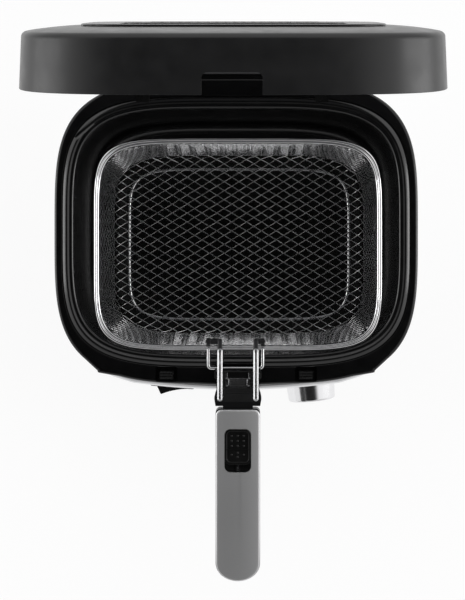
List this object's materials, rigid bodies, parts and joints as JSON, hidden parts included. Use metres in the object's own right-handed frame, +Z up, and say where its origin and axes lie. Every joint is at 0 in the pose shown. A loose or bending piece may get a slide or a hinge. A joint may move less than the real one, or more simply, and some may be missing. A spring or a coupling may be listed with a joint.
{
  "type": "electric deep fryer",
  "caption": "Electric deep fryer with a hinged lid standing open, a lift-out coated pot, a wire basket with a folding handle, a rocker switch and a temperature knob.",
  "frame": {"origin": "on the standing surface, under the middle of the whole object's box with its lid open and its handle out", "axes": "+X to the user's right, +Y to the back where the lid is hinged, +Z up; the handle points to -Y"},
  "size_m": [0.282, 0.4233, 0.4267],
  "materials": {
    "black_plastic": "moulded, fine grain",
    "rim_black": "moulded, half gloss",
    "foot_rubber": "matt",
    "casing_steel": "brushed round the body",
    "galvanised": "dull sheet",
    "cast_plate": "as cast",
    "element_metal": "heat-tinted",
    "zinc": "zinc plated",
    "phenolic": "moulded",
    "pin_steel": "bright drawn",
    "spring_steel": "drawn wire",
    "panel_silver": "satin silver",
    "knob_metal": "spun, bright",
    "switch_black": "half gloss",
    "lamp_red": "clear lens",
    "contact_brass": "plated",
    "catch_black": "ribbed",
    "pot_coating": "non-stick coating, half gloss",
    "basket_wire": "woven wire, plated",
    "basket_chrome": "plated",
    "arm_chrome": "plated",
    "handle_black": "moulded",
    "handle_silver": "satin silver",
    "button_black": "dotted",
    "lid_black": "satin",
    "liner_steel": "sheet",
    "gasket_rubber": "silicone",
    "window_glass": "tempered",
    "frame_black": "satin",
    "filter_metal": "pleated"
  },
  "bodies": {
    "base": {"base_tray": "black_plastic", "feet": "foot_rubber", "outer_casing": "casing_steel", "top_deck": "rim_black", "heat_shield": "galvanised", "heater_plate": "cast_plate", "heating_element": "element_metal", "heater_posts": "zinc", "thermal_cutoff": "phenolic", "tie_bolts": "zinc", "hinge_pins": "pin_steel", "lid_springs": "spring_steel", "front_panel": "panel_silver", "thermostat": "zinc", "switch_housing": "switch_black", "ready_lamp": "lamp_red", "power_inlet": "black_plastic", "inlet_pins": "contact_brass"},
    "knob": {"temperature_knob": "knob_metal", "thermostat_shaft": "pin_steel"},
    "rocker": {"switch_rocker": "switch_black"},
    "catch_l": {"catch_left": "catch_black"},
    "catch_r": {"catch_right": "catch_black"},
    "pot": {"pot": "pot_coating"},
    "basket": {"basket_mesh": "basket_wire", "basket_rim": "basket_chrome", "basket_base_ring": "basket_chrome", "basket_bracket": "basket_chrome"},
    "handle": {"handle_arms": "arm_chrome", "handle_collar": "handle_black", "handle_grip": "handle_black", "handle_cover": "handle_silver", "button_spring": "spring_steel", "handle_screws": "zinc"},
    "button": {"handle_button": "button_black", "latch_hooks": "pin_steel"},
    "lid": {"lid_shell": "lid_black", "lid_liner": "liner_steel", "lid_gasket": "gasket_rubber", "window_glass": "window_glass", "window_frame": "frame_black", "filter_cover": "frame_black", "filter_cartridge": "filter_metal", "lid_hooks": "catch_black", "lid_screws": "zinc"}
  },
  "joints": [
    {"name": "lid_hinge", "type": "hinge", "parent": "base", "child": "lid", "pos_m": [0, 0.17701, 0.188], "axis": [-1, 0, 0], "range_deg": [-79.6, 0], "stiffness_Nm_per_rad": 0.15, "springref_deg": 22.92},
    {"name": "pot_lift", "type": "slide", "parent": "base", "child": "pot", "axis": [0, 0, 1], "range_m": [0, 0.07]},
    {"name": "basket_lift", "type": "slide", "parent": "pot", "child": "basket", "axis": [0, 0, 1], "range_m": [0, 0.2]},
    {"name": "handle_fold", "type": "hinge", "parent": "basket", "child": "handle", "pos_m": [0.0014, -0.02959, 0.1906], "axis": [-1, 0, 0], "range_deg": [0, 170]},
    {"name": "button_slide", "type": "slide", "parent": "handle", "child": "button", "axis": [0, -1, 0], "range_m": [0, 0.005], "stiffness_N_per_m": 300, "springref_m": -0.003, "deforming": ["button_spring"]},
    {"name": "knob_turn", "type": "hinge", "parent": "base", "child": "knob", "pos_m": [0.06, -0.06689, 0.128], "axis": [-0.1, 0.995, 0], "range_deg": [0, 270]},
    {"name": "rocker_tilt", "type": "hinge", "parent": "base", "child": "rocker", "pos_m": [-0.05246, -0.06709, 0.128], "axis": [0, 0, -1], "range_deg": [0, 24]},
    {"name": "catch_left_slide", "type": "slide", "parent": "base", "child": "catch_l", "axis": [0, -1, 0], "range_m": [0, 0.0016], "stiffness_N_per_m": 500, "springref_m": -0.001},
    {"name": "catch_right_slide", "type": "slide", "parent": "base", "child": "catch_r", "axis": [0, -1, 0], "range_m": [0, 0.0016], "stiffness_N_per_m": 500, "springref_m": -0.001}
  ]
}
